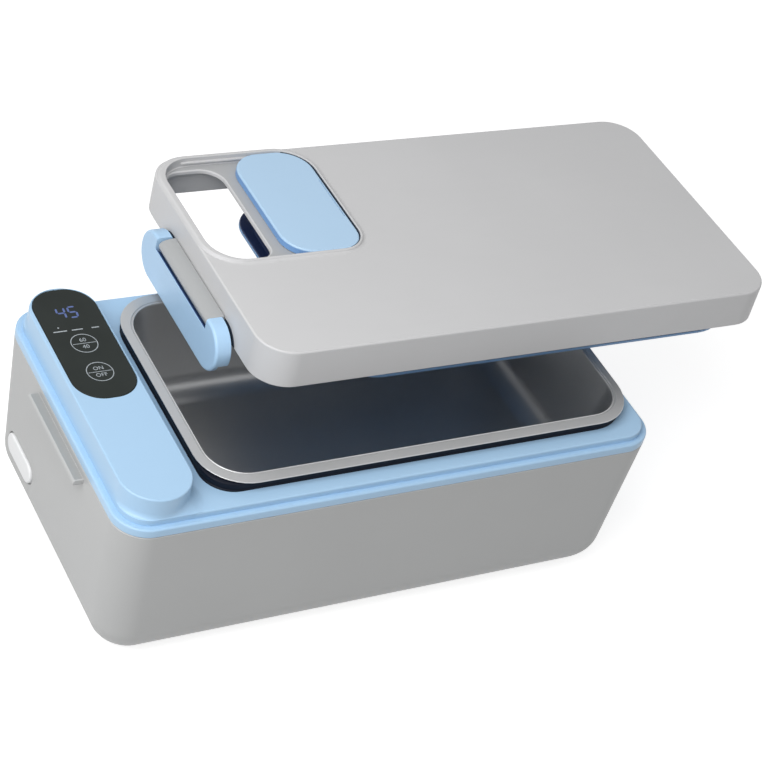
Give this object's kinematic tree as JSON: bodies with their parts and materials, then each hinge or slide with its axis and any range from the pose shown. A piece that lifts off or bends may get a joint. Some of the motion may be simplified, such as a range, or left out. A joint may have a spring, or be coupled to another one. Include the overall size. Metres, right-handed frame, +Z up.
{
  "type": "electric lunch box",
  "caption": "Rectangular heated lunch box with a steel food tray, touch panel, inner lid, and a lift-off lid with a sliding window cover and an end clasp.",
  "frame": {"origin": "middle of the foot ring's underside, on the table", "axes": "+X along the box to its right end, +Y to its back, +Z up; the lid is held up off the base and tipped by 1.6 degrees"},
  "size_m": [0.3385, 0.1805, 0.1308],
  "materials": {
    "case": "fine satin moulded plastic, off-white grey",
    "cover": "fine matt moulded plastic",
    "foot": "soft matt rubber",
    "screw": "plated steel",
    "deck": "semi-gloss moulded plastic, pale blue",
    "panel": "glossy dark touch panel",
    "display": "black display block",
    "board": "green circuit board",
    "spring": "plated brass spring",
    "seal": "satin silicone, dark navy",
    "steel": "brushed and pressed stainless steel",
    "liner": "drawn aluminium",
    "plate": "milled aluminium",
    "heater": "coated heating bar",
    "sensor": "moulded black",
    "insulation": "felted insulation",
    "holder": "moulded dark plastic",
    "cell": "shrink-wrapped cell",
    "nickel": "nickel strip",
    "socket": "moulded black socket",
    "wire": "silicone wire",
    "ribbon": "flat ribbon cable",
    "port": "soft white silicone",
    "lid": "fine satin moulded plastic, off-white",
    "slider": "semi-gloss moulded plastic, pale blue",
    "clasp": "semi-gloss moulded plastic, pale blue",
    "pin": "drawn steel pin",
    "inner_lid": "semi-gloss moulded plastic, pale blue",
    "gasket": "satin silicone, dark navy"
  },
  "bodies": {
    "base": {"outer_case": "case", "bottom_cover": "cover", "foot_ring": "foot", "cover_screws": "screw", "top_deck": "deck", "touch_glass": "panel", "display_module": "display", "touch_springs": "spring", "control_board": "board", "control_board_screws": "screw", "tray_seal": "seal", "well_liner": "liner", "liner_screws": "screw", "heating_plate": "plate", "heater_bars": "heater", "thermal_cutoff": "sensor", "temperature_sensor": "sensor", "insulation_pad": "insulation", "cell_holder": "holder", "battery_cells": "cell", "nickel_strips": "nickel", "power_board": "board", "power_board_screws": "screw", "charging_socket": "socket", "socket_screws": "screw", "ribbon_cable": "ribbon", "battery_leads": "wire", "heater_leads": "wire"},
    "food_tray": {"food_tray": "steel"},
    "port_cover": {"port_cover": "port"},
    "lid": {"lid_shell": "lid", "guide_rails": "lid", "clasp_pin": "pin"},
    "window_cover": {"window_cover": "slider"},
    "clasp": {"clasp": "clasp"},
    "inner_lid": {"inner_lid": "inner_lid", "inner_lid_gasket": "gasket"}
  },
  "joints": [
    {"name": "lid_lift", "type": "slide", "parent": "base", "child": "lid", "axis": [0, 0, 1], "range_m": [0, 0.06]},
    {"name": "window_slide", "type": "slide", "parent": "lid", "child": "window_cover", "axis": [-0.9999, 0.0099, 0.0051], "range_m": [0, 0.0343]},
    {"name": "clasp_turn", "type": "hinge", "parent": "lid", "child": "clasp", "pos_m": [-0.06062, 0.03971, 0.11508], "axis": [0.0098, 0.9996, -0.027], "range_deg": [0, 95]},
    {"name": "inner_lid_seat", "type": "slide", "parent": "lid", "child": "inner_lid", "axis": [0.0053, 0.027, 0.9996], "range_m": [0, 0.0174]},
    {"name": "tray_lift", "type": "slide", "parent": "base", "child": "food_tray", "axis": [0, 0, 1], "range_m": [0, 0.0014]},
    {"name": "port_flap", "type": "hinge", "parent": "base", "child": "port_cover", "pos_m": [-0.12879, 0.0365, 0.0324], "axis": [0, 1, 0], "range_deg": [0, 110]}
  ]
}
